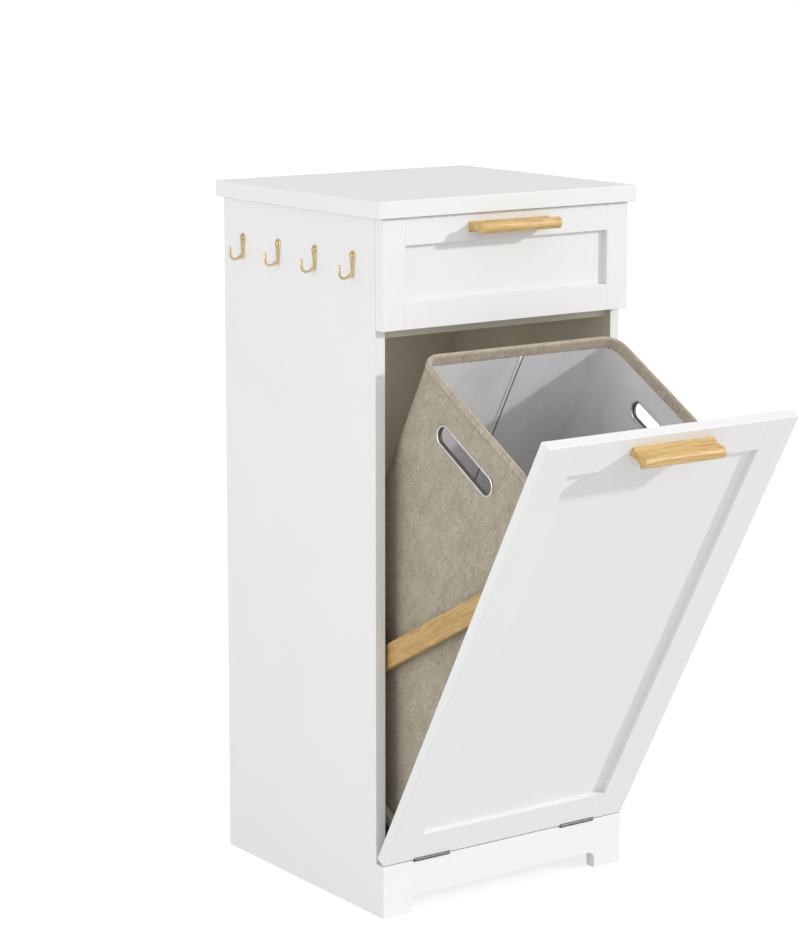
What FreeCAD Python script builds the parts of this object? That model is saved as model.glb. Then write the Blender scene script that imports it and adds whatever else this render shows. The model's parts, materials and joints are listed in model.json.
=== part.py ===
import math
import os
import re

import FreeCAD
import Part
import Sketcher

# Tilt-out hamper cabinet: a drawer over a tall bay whose door tilts forward with a fabric hamper on it.
#
# Cabinet frame: origin on the floor in the middle of the rear edge of the cabinet, +X to the right of
# someone facing it, +Y towards the wall behind it, +Z up. The fronts lie in the plane y = -cab_depth.
# Door frame: origin on the hinge axis, x as above, y inwards from the door's outer face, z up the door.
# The cabinet is stored with its door resting open at door_tilt and its drawer shut.

DIMENSIONS = [
    # carcass
    ("cab_width", 400), ("cab_depth", 376), ("cab_height", 938),
    ("board", 15), ("top_board", 22), ("top_side_lap", 9.5), ("top_front_lap", 6), ("top_rear_lap", 5),
    ("front_gap", 1), ("plinth_top", 70), ("foot_width", 46), ("arch_top", 22.5), ("arch_round", 10),
    ("back_board", 4), ("back_inset", 6), ("groove_depth", 6), ("groove_grip", 5.5),
    ("shelf_setback", 28), ("shelf_under", 760), ("stretcher_drop", 60),
    ("anchor_spacing", 256), ("anchor_hole", 2.5), ("edge_round", 1), ("joint_round", 0.35),
    # framed fronts
    ("front_board", 15), ("panel_face", 7), ("panel_board", 6), ("panel_tongue", 6),
    ("door_foot", 0.4), ("door_top", 691), ("door_stile", 48), ("door_head_rail", 47),
    ("door_foot_rail", 47.5),
    ("drawer_foot", 772.5), ("drawer_top", 915), ("drawer_stile", 35.5), ("drawer_rail", 35),
    # door hinges
    ("hinge_height", 70.4), ("door_tilt", 29.25), ("hinge_length", 57), ("hinge_offset", 122),
    ("knuckle_radius", 2.5), ("hinge_pin_radius", 1.2), ("running_gap", 0.05), ("knuckle_gap", 0.2),
    ("knuckle_room", 0.5), ("leaf_thick", 0.9), ("leaf_depth", 13), ("hinge_screw_offset", 19),
    ("hinge_screw_setback", 8.5), ("hinge_screw_radius", 1.2), ("hinge_screw_head", 2.3),
    ("hinge_screw_length", 11),
    # tray and braces that carry the hamper on the door
    ("tray_under", 19), ("tray_board", 12), ("tray_depth", 304), ("tray_half", 168),
    ("brace_thick", 12), ("brace_width", 30), ("brace_head", 470.5),
    ("brace_screw_radius", 1.8), ("brace_screw_length", 28), ("brace_screw_head", 3.4),
    ("brace_screw_head_thick", 1.5), ("brace_screw_inset", 14), ("cleat_width", 8), ("cleat_depth", 12),
    ("cleat_height", 40), ("cleat_drop", 22),
    ("stop_pin_radius", 3), ("stop_pin_depth", 10), ("stop_reach", 16.5), ("stop_sleeve_radius", 5),
    ("stop_gap", 0.3), ("stop_setback", 16),
    # hamper
    ("hamper_half", 161.7), ("hamper_front", 20), ("hamper_back", 305.9), ("hamper_top", 600.5),
    ("hamper_corner", 27), ("binding", 1.2), ("binding_depth", 15), ("hamper_wall", 4), ("lining", 1),
    ("base_board", 3), ("base_board_gap", 1),
    ("grip_length", 130), ("grip_height", 30), ("grip_rim", 3.4), ("grip_level", 541), ("grip_inward", 163.5),
    ("grip_flange", 1.2), ("grip_sleeve", 1.0),
    # handles
    ("handle_length", 130), ("handle_reach", 30), ("handle_base", 13.6), ("handle_lip", 7.5),
    ("handle_neck_top", 4.6), ("handle_neck_under", 3.7), ("door_handle_level", 670),
    ("drawer_handle_level", 898), ("handle_screw_offset", 48), ("handle_screw_radius", 2),
    ("handle_screw_bite", 13), ("handle_screw_head", 4), ("handle_screw_head_thick", 2.5),
    ("handle_round", 1),
    # drawer box and runners
    ("drawer_box_foot", 790), ("drawer_box_height", 90), ("drawer_box_depth", 320), ("drawer_side", 12),
    ("drawer_bottom", 4), ("drawer_bottom_lift", 8), ("drawer_bottom_grip", 5),
    ("runner_thick", 12.7), ("runner_length", 300), ("runner_start", 20), ("runner_centre", 835),
    ("runner_metal", 1.2), ("runner_half_height", 22.5), ("middle_half_height", 19),
    ("inner_half_height", 15.5), ("runner_flange", 8.5), ("middle_web", 3), ("middle_reach", 10.4),
    ("inner_reach", 7),
    # coat hooks
    ("hook_first", 65.5), ("hook_spacing", 87.2), ("hook_top", 870), ("hook_foot", 832), ("hook_plate", 2.2),
    ("hook_head_radius", 6), ("hook_foot_half", 4.2), ("hook_wire", 2.3), ("hook_reach", 21),
    ("hook_tip", 854), ("hook_screw_level", 863.5), ("hook_screw_head", 3.8), ("hook_screw_radius", 1.7),
    ("hook_screw_length", 12), ("hook_screw_dome", 1.8), ("hook_root_rise", 7),
    # small hardware
    ("catch_width", 13), ("catch_depth", 30), ("catch_foot", 640), ("catch_height", 26), ("catch_gap", 0.5),
    ("strike_width", 12), ("strike_thick", 1.5),
    ("bumper_radius", 4), ("bumper_thick", 0.8), ("bumper_inset", 7.5),
    ("cam_radius", 7.5), ("cam_depth", 12), ("cam_setback", 34), ("cam_bolt_radius", 3),
    ("cam_bolt_bite", 10), ("cam_front", 70), ("cam_rear", 300), ("fit_gap", 0.1),
    ("dowel_radius", 4), ("dowel_length", 30), ("dowel_bite", 15),
]

SIDES = (("left", -1), ("right", 1))

doc = FreeCAD.newDocument("tilt_out_hamper_cabinet")
sheet = doc.addObject("Spreadsheet::Sheet", "dims")
subparts = []


def fill_sheet():
    """Put each driving dimension in the sheet, as a plain number with an alias."""
    for row, (name, value) in enumerate(DIMENSIONS, 1):
        sheet.set("A%d" % row, name)
        sheet.set("B%d" % row, str(value))
        sheet.setAlias("B%d" % row, name)
    doc.recompute()


def size(name):
    """The value of one driving dimension, read back from the sheet."""
    return float(sheet.get(name))


def cells(text):
    """An expression on the sheet: each dimension's name in text gets the sheet's name before it."""
    return re.sub(r"[a-z_][a-z_0-9]*", lambda word: "dims." + word.group(0), str(text))


def bind(thing, **settings):
    """Bind properties to expressions; a double underscore in a keyword stands for a dot."""
    for name, text in settings.items():
        thing.setExpression(name.replace("__", "."), cells(text))


def vector(x, y, z):
    return FreeCAD.Vector(x, y, z)


def new_body(label, frame="cabinet"):
    """An empty body. A body in the door frame sits on the hinge axis, turned by the door's tilt."""
    body = doc.addObject("PartDesign::Body", label)
    body.Label = label
    if frame == "door":
        turn = FreeCAD.Rotation(vector(1, 0, 0), size("door_tilt"))
        body.Placement = FreeCAD.Placement(vector(0, 0, 0), turn)
        bind(body, Placement__Base__y="-cab_depth", Placement__Base__z="hinge_height")
        body.setExpression("Placement.Rotation.Angle", "dims.door_tilt * 1 deg")
    subparts.append(body)
    return body


def block(body, x, y, z, cut=False):
    """A box between two expressions on each axis, added to the body or cut from it."""
    kind = "SubtractiveBox" if cut else "AdditiveBox"
    box = body.newObject("PartDesign::" + kind, kind)
    bind(box, Length="(%s) - (%s)" % (x[1], x[0]), Width="(%s) - (%s)" % (y[1], y[0]))
    bind(box, Height="(%s) - (%s)" % (z[1], z[0]))
    bind(box, Placement__Base__x=x[0], Placement__Base__y=y[0], Placement__Base__z=z[0])
    doc.recompute()
    return box


TURNS = {
    "x": FreeCAD.Rotation(vector(0, 1, 0), 90),
    "y": FreeCAD.Rotation(vector(1, 0, 0), -90),
    "z": FreeCAD.Rotation(),
}


def rod(body, along, start, length, radius, cut=False):
    """A cylinder that starts at a point given by three expressions and runs along +x, +y or +z."""
    kind = "SubtractiveCylinder" if cut else "AdditiveCylinder"
    item = body.newObject("PartDesign::" + kind, kind)
    item.Placement = FreeCAD.Placement(vector(0, 0, 0), TURNS[along])
    bind(item, Radius=radius, Height=length)
    bind(item, Placement__Base__x=start[0], Placement__Base__y=start[1], Placement__Base__z=start[2])
    doc.recompute()
    return item


def cone(body, start, height, radius_low, radius_high, cut=False):
    """A cone that stands on a point given by three expressions and rises along +z."""
    kind = "SubtractiveCone" if cut else "AdditiveCone"
    item = body.newObject("PartDesign::" + kind, kind)
    bind(item, Radius1=radius_low, Radius2=radius_high, Height=height)
    bind(item, Placement__Base__x=start[0], Placement__Base__y=start[1], Placement__Base__z=start[2])
    doc.recompute()
    return item


def slot_block(body, x, half_height, cut=False):
    """A round-ended prism through x, centred on the hamper's grip and as long as the grip less its height."""
    half_run = "(grip_length - grip_height) / 2"
    y = ("grip_inward - %s" % half_run, "grip_inward + %s" % half_run)
    z = ("grip_level - (%s)" % half_height, "grip_level + (%s)" % half_height)
    block(body, x, y, z, cut)
    for end in y:
        rod(body, "x", (x[0], end, "grip_level"), "(%s) - (%s)" % (x[1], x[0]), half_height, cut)


def soften(body, radius, wanted):
    """Round each straight edge for which wanted(middle of the edge, axis it runs along) is true."""
    base = body.Tip
    names = []
    for number, edge in enumerate(base.Shape.Edges, 1):
        if edge.Degenerated or len(edge.Vertexes) != 2:
            continue
        first, last = (corner.Point for corner in edge.Vertexes)
        run = last - first
        along = max(("x", abs(run.x)), ("y", abs(run.y)), ("z", abs(run.z)), key=lambda pair: pair[1])[0]
        if near(edge.Length, run.Length) and wanted((first + last) * 0.5, along):
            names.append("Edge%d" % number)
    fillet = body.newObject("PartDesign::Fillet", "Fillet")
    fillet.Base = (base, names)
    bind(fillet, Radius=radius)
    doc.recompute()


def near(value, target):
    return abs(value - target) < 0.01


def plane_sketch(body, role, offset=None):
    """A sketch on one of the body's own planes, moved along the plane's normal by an expression."""
    sketch = body.newObject("Sketcher::SketchObject", "Sketch")
    plane = [item for item in body.Origin.OriginFeatures if item.Role == role][0]
    sketch.AttachmentSupport = [(plane, "")]
    sketch.MapMode = "FlatFace"
    if offset is not None:
        bind(sketch, AttachmentOffset__Base__z=offset)
    return sketch


def polygon(sketch, corners):
    """A closed outline of straight lines whose corners are bound to pairs of expressions."""
    count = len(corners)
    angles = [2 * math.pi * i / count for i in range(count)]
    rough = [vector(math.cos(angle), math.sin(angle), 0) for angle in angles]
    for i in range(count):
        sketch.addGeometry(Part.LineSegment(rough[i], rough[(i + 1) % count]))
    for i in range(count):
        sketch.addConstraint(Sketcher.Constraint("Coincident", i, 2, (i + 1) % count, 1))
    for i, corner in enumerate(corners):
        for kind, value, text in zip(("DistanceX", "DistanceY"), (rough[i].x, rough[i].y), corner):
            number = sketch.addConstraint(Sketcher.Constraint(kind, -1, 1, i, 1, value))
            sketch.setExpression("Constraints[%d]" % number, cells(text))
    doc.recompute()


def curved_outline(sketch, pieces):
    """A closed outline of pieces, each a list of two points (a line) or three (an arc)."""
    for piece in pieces:
        points = [vector(u, v, 0) for u, v in piece]
        sketch.addGeometry(Part.LineSegment(*points) if len(points) == 2 else Part.Arc(*points))
    doc.recompute()


def pad(body, sketch, length, both_ways=False):
    feature = body.newObject("PartDesign::Pad", "Pad")
    feature.Profile = sketch
    feature.Midplane = both_ways
    bind(feature, Length=length)
    doc.recompute()
    return feature


def span(side, inner, outer):
    """The x range between two distances from the middle, on the left (-1) or the right (+1)."""
    return ("-(%s)" % outer, "-(%s)" % inner) if side < 0 else (inner, outer)


# ---------------------------------------------------------------- carcass

FRONT = "-cab_depth"
BEHIND_FRONTS = "-cab_depth + front_board + front_gap"
INNER = "cab_width / 2 - board"
OUTER = "cab_width / 2"
TOP_UNDER = "cab_height - top_board"
BACK_FACE = "-back_inset"
BACK_FRONT = "-back_inset - back_board"
LEAF_SEAT = "plinth_top - leaf_thick"


def cam_places():
    """The side, the y expression and the expression for the shelf's underside of each cam fitting."""
    for _, side in SIDES:
        for setback in ("cam_front", "cam_rear"):
            for under in ("plinth_top - board", "shelf_under"):
                yield side, "-cab_depth + " + setback, under


def stop_centre():
    """Where the stop pin's centre is in the cabinet frame: just above the open door's brace foot."""
    foot = vector(0, size("tray_depth"), size("tray_under"))
    head = vector(0, size("front_board"), size("brace_head"))
    along = (head - foot).normalize()
    away = vector(0, along.z, -along.y)
    local = foot + along * size("stop_setback") + away * (size("stop_sleeve_radius") + size("stop_gap"))
    tilt = math.radians(size("door_tilt"))
    y = local.y * math.cos(tilt) - local.z * math.sin(tilt) - size("cab_depth")
    z = local.y * math.sin(tilt) + local.z * math.cos(tilt) + size("hinge_height")
    return str(round(y, 4)), str(round(z, 4))


def make_side_panel(name, side):
    body = new_body(name + "_side_panel")
    block(body, span(side, INNER, OUTER), (BEHIND_FRONTS, "0"), ("0", TOP_UNDER))
    groove = span(side, INNER, INNER + " + groove_depth")
    block(body, groove, (BACK_FRONT, BACK_FACE), ("plinth_top - board", TOP_UNDER), cut=True)
    y, z = stop_centre()
    hole = span(side, INNER, INNER + " + stop_pin_depth")
    rod(body, "x", (hole[0], y, z), "stop_pin_depth", "stop_pin_radius + fit_gap", cut=True)
    bolt = span(side, INNER, INNER + " + cam_bolt_bite")
    for bolt_side, y, under in cam_places():
        if bolt_side == side:
            start = (bolt[0], y, under + " + board / 2")
            rod(body, "x", start, "cam_bolt_bite", "cam_bolt_radius + fit_gap", cut=True)
    for y in dowel_rows():
        x = "%d * (%s)" % (side, INNER + " + board / 2")
        start = (x, y, TOP_UNDER + " - dowel_bite")
        rod(body, "z", start, "dowel_bite", "dowel_radius + fit_gap", cut=True)
    if side < 0:
        for y in hook_rows():
            start = ("-cab_width / 2", y, "hook_screw_level")
            rod(body, "x", start, "hook_screw_length", "hook_screw_radius + fit_gap", cut=True)
    outer_x = side * size("cab_width") / 2
    front_y = -size("cab_depth") + size("front_board") + size("front_gap")
    soften(body, "edge_round", lambda middle, along: along == "z" and near(middle.x, outer_x)
           and (near(middle.y, front_y) or near(middle.y, 0)))


def dowel_rows():
    return ["-cab_depth + cam_front", "-cab_depth + cam_rear"]


def make_top_panel():
    body = new_body("top_panel")
    x = "cab_width / 2 + top_side_lap"
    block(body, ("-(%s)" % x, x), ("-cab_depth - top_front_lap", "top_rear_lap"), (TOP_UNDER, "cab_height"))
    for _, side in SIDES:
        for y in dowel_rows():
            start = ("%d * (%s)" % (side, INNER + " + board / 2"), y, TOP_UNDER)
            rod(body, "z", start, "dowel_length - dowel_bite + fit_gap", "dowel_radius + fit_gap", cut=True)
    top = size("cab_height")
    under = top - size("top_board")
    rear = size("top_rear_lap")
    front = -size("cab_depth") - size("top_front_lap")
    soften(body, "edge_round", lambda middle, along:
           (along in "xy" and (near(middle.z, top) or near(middle.z, under)))
           or (along == "z" and (near(middle.y, front) or near(middle.y, rear))))


def make_shelf(label, under, front):
    """A board between the side panels, from front back to the back panel, with pockets for its cams."""
    body = new_body(label)
    block(body, ("-(%s)" % INNER, INNER), (front, BACK_FRONT), (under, under + " + board"))
    for side, y, cam_under in cam_places():
        if cam_under == under:
            centre = "%d * (%s - cam_setback)" % (side, INNER)
            rod(body, "z", (centre, y, under), "cam_depth", "cam_radius + fit_gap", cut=True)
            bolt = span(side, INNER + " - cam_setback", INNER)
            start = (bolt[0], y, under + " + board / 2")
            rod(body, "x", start, "cam_setback", "cam_bolt_radius + fit_gap", cut=True)
    return body


def make_carcass_boards():
    make_top_panel()
    for name, side in SIDES:
        make_side_panel(name, side)
    make_shelf("bottom_panel", "plinth_top - board", BEHIND_FRONTS)
    make_shelf("divider_shelf", "shelf_under", "-cab_depth + shelf_setback")
    body = new_body("back_panel")
    grip = INNER + " + groove_grip"
    block(body, ("-(%s)" % grip, grip), (BACK_FRONT, BACK_FACE), ("plinth_top - board", TOP_UNDER))
    drill_anchor_holes(body)
    body = new_body("rear_stretcher")
    y = (BACK_FRONT + " - board", BACK_FRONT)
    block(body, ("-(%s)" % INNER, INNER), y, (TOP_UNDER + " - stretcher_drop", TOP_UNDER))
    drill_anchor_holes(body)
    body = new_body("rear_plinth")
    block(body, ("-(%s)" % INNER, INNER), ("-board", "0"), ("0", "plinth_top - board"))


def drill_anchor_holes(body):
    for _, side in SIDES:
        across, level = "%d * anchor_spacing / 2" % side, TOP_UNDER + " - stretcher_drop / 2"
        start = (across, BACK_FRONT + " - board", level)
        rod(body, "y", start, "board + back_board", "anchor_hole", cut=True)


def make_front_plinth():
    """The bracket-footed board under the door, with an arch between its feet."""
    body = new_body("front_plinth")
    half, top = size("cab_width") / 2, size("plinth_top")
    foot = half - size("foot_width")
    arch, bend = size("arch_top"), size("arch_round")
    inner = bend * (1 - math.sqrt(0.5))
    pieces = [[(half, top), (-half, top)], [(-half, top), (-half, 0)], [(-half, 0), (-foot, 0)],
              [(-foot, 0), (-foot, arch - bend)],
              [(-foot, arch - bend), (-foot + inner, arch - inner), (-foot + bend, arch)],
              [(-foot + bend, arch), (foot - bend, arch)],
              [(foot - bend, arch), (foot - inner, arch - inner), (foot, arch - bend)],
              [(foot, arch - bend), (foot, 0)], [(foot, 0), (half, 0)], [(half, 0), (half, top)]]
    sketch = plane_sketch(body, "XZ_Plane", offset="cab_depth - front_board - front_gap")
    curved_outline(sketch, pieces)
    pad(body, sketch, "front_board + front_gap")
    for _, side in SIDES:
        cut_knuckle_room(body, side, FRONT, "hinge_height")
        cut_leaf_seat(body, side, FRONT, LEAF_SEAT)
        for x in hinge_screw_rows(side):
            start = (x, "-cab_depth + hinge_screw_setback", LEAF_SEAT + " - hinge_screw_length")
            rod(body, "z", start, "hinge_screw_length", "hinge_screw_radius + fit_gap", cut=True)
    front = -size("cab_depth")
    soften(body, "edge_round", lambda middle, along: near(abs(middle.x), half) and along == "z"
           and near(middle.y, front))
    soften(body, "joint_round", lambda middle, along: near(middle.y, front) and along == "x"
           and near(middle.z, arch))


# ---------------------------------------------------------------- framed fronts


def make_framed_front(prefix, frame, x_half, stile, rails, low, high, face):
    """Two stiles, two rails and a panel tongued between them. face is the y of the outer face.

    rails is the height of the lower and of the upper rail. Returns the four frame bodies by name.
    """
    inner = "%s - %s" % (x_half, stile)
    y = (face, face + " + front_board")
    tongue_y = (face + " + panel_face", face + " + panel_face + panel_board")
    panel_x = ("-(%s) - panel_tongue" % inner, "%s + panel_tongue" % inner)
    panel_z = ("%s + %s - panel_tongue" % (low, rails[0]), "%s - %s + panel_tongue" % (high, rails[1]))
    made = {}
    for name, side in SIDES:
        made[name] = new_body("%s_%s_stile" % (prefix, name), frame)
        block(made[name], span(side, inner, x_half), y, (low, high))
    lower, upper = (low, "%s + %s" % (low, rails[0])), ("%s - %s" % (high, rails[1]), high)
    for name, z in (("lower", lower), ("upper", upper)):
        made[name] = new_body("%s_%s_rail" % (prefix, name), frame)
        block(made[name], ("-(%s)" % inner, inner), y, z)
    for body in made.values():
        block(body, panel_x, tongue_y, panel_z, cut=True)
    body = new_body(prefix + "_panel", frame)
    block(body, panel_x, tongue_y, panel_z)
    return made


def finish_framed_front(made, x_half, stile, low, high, face):
    """Round the frame's outer edges, and ease its inner edges and the joint lines less."""
    for name, side in SIDES:
        outer, inner = side * x_half, side * (x_half - stile)
        soften(made[name], "edge_round", lambda middle, along: (near(middle.y, face) and
               ((along == "z" and near(middle.x, outer)) or (along == "x" and (near(middle.z, low)
                or near(middle.z, high))))) or (along == "y" and near(middle.x, outer)))
        soften(made[name], "joint_round", lambda middle, along: near(middle.y, face) and along == "z"
               and near(middle.x, inner))
    for name, outside in (("lower", low), ("upper", high)):
        soften(made[name], "edge_round", lambda middle, along: along == "x" and near(middle.y, face)
               and near(middle.z, outside))
        soften(made[name], "joint_round", lambda middle, along: near(middle.y, face)
               and ((along == "x" and not near(middle.z, outside)) or along == "z"))


def drill_handle_holes(body, face, level):
    for _, side in SIDES:
        start = ("%d * handle_screw_offset" % side, face, level)
        rod(body, "y", start, "front_board", "handle_screw_radius + fit_gap", cut=True)


def handle_outline():
    """The pull's section, as (distance out from the front, height above its middle)."""
    half_base, reach = size("handle_base") / 2, size("handle_reach")
    neck_at, crest_at, lip_at = reach * 0.28, reach * 0.7, reach * 0.8
    crest = (crest_at, half_base + 0.5)
    lip = (lip_at, -size("handle_lip"))
    return [[(0, half_base), (neck_at, size("handle_neck_top")), crest], [crest, (reach, 0.3), lip],
            [lip, (neck_at, -size("handle_neck_under")), (0, -half_base)], [(0, -half_base), (0, half_base)]]


def make_handle(label, frame, face, level):
    """A wooden pull of one section, screwed on from behind the front."""
    body = new_body(label, frame)
    sketch = plane_sketch(body, "YZ_Plane", offset="-handle_length / 2")
    face_y = 0 if frame == "door" else -size("cab_depth")
    height = size(level)
    curved_outline(sketch, [[(face_y - u, height + v) for u, v in piece] for piece in handle_outline()])
    pad(body, sketch, "handle_length")
    round_ends(body, "handle_round")
    for _, side in SIDES:
        start = ("%d * handle_screw_offset" % side, "%s - handle_screw_bite" % face, level)
        rod(body, "y", start, "handle_screw_bite", "handle_screw_radius + fit_gap", cut=True)
    body = new_body(label + "_screws", frame)
    for _, side in SIDES:
        x = "%d * handle_screw_offset" % side
        length = "handle_screw_bite - fit_gap + front_board"
        rod(body, "y", (x, "%s - handle_screw_bite + fit_gap" % face, level), length, "handle_screw_radius")
        rod(body, "y", (x, face + " + front_board", level), "handle_screw_head_thick", "handle_screw_head")


def round_ends(body, radius):
    """Round the edges of a pull's two end faces, apart from the ones that lie on the front."""
    base = body.Tip
    half, flat = size("handle_length") / 2, max(corner.Point.y for corner in base.Shape.Vertexes)
    names = []
    for number, edge in enumerate(base.Shape.Edges, 1):
        corners = [corner.Point for corner in edge.Vertexes]
        at_end = all(near(abs(point.x), half) for point in corners) and near(corners[0].x, corners[1].x)
        if at_end and not all(near(point.y, flat) for point in corners):
            names.append("Edge%d" % number)
    fillet = body.newObject("PartDesign::Fillet", "Fillet")
    fillet.Base = (base, names)
    bind(fillet, Radius=radius)
    doc.recompute()


def make_door_front():
    half = "cab_width / 2"
    rails = ("door_foot_rail - door_foot", "door_head_rail")
    made = make_framed_front("door", "door", half, "door_stile", rails,
                             "door_foot", "door_top", "0")
    drill_handle_holes(made["upper"], "0", "door_handle_level")
    for _, side in SIDES:
        cut_knuckle_room(made["lower"], side, "0", "0")
        cut_leaf_seat(made["lower"], side, "0", "door_foot")
        for x in hinge_screw_rows(side):
            start = (x, "hinge_screw_setback", "door_foot + leaf_thick")
            rod(made["lower"], "z", start, "hinge_screw_length", "hinge_screw_radius + fit_gap", cut=True)
    finish_framed_front(made, size("cab_width") / 2, size("door_stile"), size("door_foot"),
                        size("door_top"), 0)
    make_handle("door_handle", "door", "0", "door_handle_level")


def make_drawer_front():
    made = make_framed_front("drawer_front", "cabinet", "cab_width / 2", "drawer_stile",
                             ("drawer_rail", "drawer_rail"), "drawer_foot", "drawer_top", FRONT)
    drill_handle_holes(made["upper"], FRONT, "drawer_handle_level")
    finish_framed_front(made, size("cab_width") / 2, size("drawer_stile"), size("drawer_foot"),
                        size("drawer_top"), -size("cab_depth"))
    make_handle("drawer_handle", "cabinet", FRONT, "drawer_handle_level")


# ---------------------------------------------------------------- butt hinges


def hinge_screw_rows(side):
    middle = "%d * hinge_offset" % side
    return [middle + " - hinge_screw_offset", middle + " + hinge_screw_offset"]


def cut_knuckle_room(body, side, y, z):
    """A round rebate for a hinge's knuckles along the hinge axis, which is at y and z."""
    start = ("%d * hinge_offset - hinge_length / 2 - knuckle_room" % side, y, z)
    rod(body, "x", start, "hinge_length + 2 * knuckle_room", "knuckle_radius + knuckle_room", cut=True)


def cut_leaf_seat(body, side, y, low):
    """A shallow seat that lets a hinge leaf lie flush in a board's edge."""
    start = "%d * hinge_offset - hinge_length / 2" % side
    x = (start + " - fit_gap", start + " + hinge_length + fit_gap")
    block(body, x, (y, "%s + leaf_depth + fit_gap" % y), (low, low + " + leaf_thick"), cut=True)


def add_leaf(body, side, y, z, low, high, knuckles):
    """A hinge leaf: a plate between heights low and high, and the given thirds of the knuckle barrel."""
    start = "%d * hinge_offset - hinge_length / 2" % side
    plate_y = ("%s + knuckle_radius + 2 * knuckle_gap" % y, "%s + leaf_depth" % y)
    block(body, (start, start + " + hinge_length"), plate_y, (low, high))
    for third in knuckles:
        first = "%s + %d * hinge_length / 3 + knuckle_gap / 2" % (start, third)
        length = "hinge_length / 3 - knuckle_gap"
        rod(body, "x", (first, y, z), length, "knuckle_radius")
        block(body, (first, "%s + %s" % (first, length)), (y, plate_y[0]), (low, high))
    rod(body, "x", (start, y, z), "hinge_length", "hinge_pin_radius + running_gap", cut=True)


def drill_leaf(body, side, y, low, narrow, wide):
    for x in hinge_screw_rows(side):
        cone(body, (x, "%s + hinge_screw_setback" % y, low), "leaf_thick", narrow, wide, cut=True)


def make_hinge_screws(label, frame, y, low, point_down):
    """Four countersunk screws, their heads flush in the leaves."""
    body = new_body(label, frame)
    shank = "hinge_screw_length - fit_gap"
    for _, side in SIDES:
        for x in hinge_screw_rows(side):
            at = "%s + hinge_screw_setback" % y
            if point_down:
                rod(body, "z", (x, at, "%s - (%s)" % (low, shank)), shank, "hinge_screw_radius")
                cone(body, (x, at, low), "leaf_thick", "hinge_screw_radius", "hinge_screw_head")
            else:
                rod(body, "z", (x, at, low + " + leaf_thick"), shank, "hinge_screw_radius")
                cone(body, (x, at, low), "leaf_thick", "hinge_screw_head", "hinge_screw_radius")


def make_hinges():
    shank, head = "hinge_screw_radius + fit_gap", "hinge_screw_head + fit_gap"
    on_plinth = new_body("hinge_plinth_leaves")
    on_door = new_body("hinge_door_leaves", "door")
    pins = new_body("hinge_pins")
    for _, side in SIDES:
        add_leaf(on_plinth, side, FRONT, "hinge_height", LEAF_SEAT, "plinth_top", (0, 2))
        drill_leaf(on_plinth, side, FRONT, LEAF_SEAT, shank, head)
        add_leaf(on_door, side, "0", "0", "door_foot", "door_foot + leaf_thick", (1,))
        drill_leaf(on_door, side, "0", "door_foot", head, shank)
        start = ("%d * hinge_offset - hinge_length / 2 + knuckle_gap" % side, FRONT, "hinge_height")
        rod(pins, "x", start, "hinge_length - 2 * knuckle_gap", "hinge_pin_radius")
    make_hinge_screws("hinge_plinth_screws", "cabinet", FRONT, LEAF_SEAT, point_down=True)
    make_hinge_screws("hinge_door_screws", "door", "0", "door_foot", point_down=False)


# ---------------------------------------------------------------- tray, braces and door stops

TRAY_TOP = "tray_under + tray_board"


def make_tray():
    body = new_body("tray_board", "door")
    block(body, ("-tray_half", "tray_half"), ("front_board", "tray_depth"), ("tray_under", TRAY_TOP))
    for _, side in SIDES:
        for y in tray_screw_rows():
            x = span(side, "tray_half - brace_screw_length + brace_thick", "tray_half")[0]
            start = (x, y, "tray_under + tray_board / 2")
            length = "brace_screw_length - brace_thick"
            rod(body, "x", start, length, "brace_screw_radius + fit_gap", cut=True)


def tray_screw_rows():
    return ["tray_depth - brace_screw_inset"]


def make_brace(name, side):
    """The sloping bar at one side of the tray, from the door's inner face down to the tray's rear corner."""
    body = new_body(name + "_brace", "door")
    run = size("tray_depth") - size("front_board")
    rise = size("brace_head") - size("tray_under")
    slant = math.hypot(run, rise)
    # the bar's lower edge meets the door below its upper edge, and the tray's underside in front of it
    drop = "brace_width * %.6f" % (slant / run)
    back = "brace_width * %.6f" % (slant / rise)
    corners = [("front_board", "brace_head"), ("front_board", "brace_head - " + drop),
               ("tray_depth - " + back, "tray_under"), ("tray_depth", "tray_under")]
    x = span(side, "tray_half", "tray_half + brace_thick")
    sketch = plane_sketch(body, "YZ_Plane", offset=x[0])
    polygon(sketch, corners)
    pad(body, sketch, "brace_thick")
    low, high = side * size("tray_half"), side * (size("tray_half") + size("brace_thick"))
    soften(body, "edge_round", lambda middle, along: (near(middle.x, low) or near(middle.x, high))
           and along in "yz" and middle.y > size("front_board") + 1 and middle.z > size("tray_under") + 1)
    for y in tray_screw_rows():
        start = (x[0], y, "tray_under + tray_board / 2")
        rod(body, "x", start, "brace_thick", "brace_screw_radius + fit_gap", cut=True)


def make_brace_screws():
    body = new_body("brace_screws", "door")
    for _, side in SIDES:
        for y in tray_screw_rows():
            z = "tray_under + tray_board / 2"
            shank = span(side, "tray_half - brace_screw_length + brace_thick + fit_gap",
                         "tray_half + brace_thick")
            length = "brace_screw_length - fit_gap"
            rod(body, "x", (shank[0], y, z), length, "brace_screw_radius")
            head = span(side, "tray_half + brace_thick", "tray_half + brace_thick + brace_screw_head_thick")
            rod(body, "x", (head[0], y, z), "brace_screw_head_thick", "brace_screw_head")


def make_brace_cleats():
    """A small block behind each brace's head that ties it to the door's stile."""
    body = new_body("brace_cleats", "door")
    for _, side in SIDES:
        x = span(side, "tray_half - cleat_width", "tray_half")
        z = ("brace_head - cleat_drop - cleat_height", "brace_head - cleat_drop")
        block(body, x, ("front_board", "front_board + cleat_depth"), z)


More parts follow.
